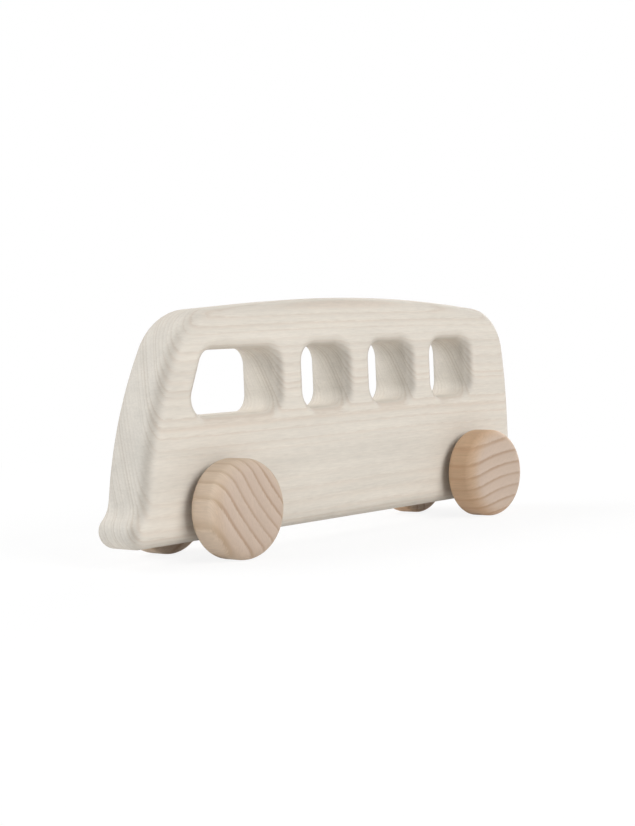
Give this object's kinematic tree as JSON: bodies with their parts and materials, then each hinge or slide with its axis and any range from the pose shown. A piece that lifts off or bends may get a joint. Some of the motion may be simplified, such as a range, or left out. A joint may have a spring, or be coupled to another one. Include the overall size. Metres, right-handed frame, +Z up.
{
  "type": "wooden toy bus",
  "caption": "Solid wooden push-along toy bus: a rounded board body with see-through windows and a bumper, rolling on turned wheels glued to dowel axles.",
  "frame": {"origin": "on the floor, below the middle of the bus", "axes": "+X forward, the way the bus drives; +Y to the left of the bus; +Z up"},
  "size_m": [0.185, 0.047, 0.0774],
  "materials": {
    "body_maple": "bare sanded pale maple",
    "wheel_beech": "bare sanded beech",
    "axle_beech": "plain beech dowel"
  },
  "bodies": {
    "body": {"body": "body_maple"},
    "front_axle": {"front_axle": "axle_beech", "front_left_wheel": "wheel_beech", "front_right_wheel": "wheel_beech"},
    "rear_axle": {"rear_axle": "axle_beech", "rear_left_wheel": "wheel_beech", "rear_right_wheel": "wheel_beech"}
  },
  "joints": [
    {"name": "front_axle_spin", "type": "hinge", "parent": "body", "child": "front_axle", "pos_m": [0.058, 0, 0.015], "axis": [0, 1, 0], "continuous": true},
    {"name": "rear_axle_spin", "type": "hinge", "parent": "body", "child": "rear_axle", "pos_m": [-0.064, 0, 0.015], "axis": [0, 1, 0], "continuous": true}
  ]
}
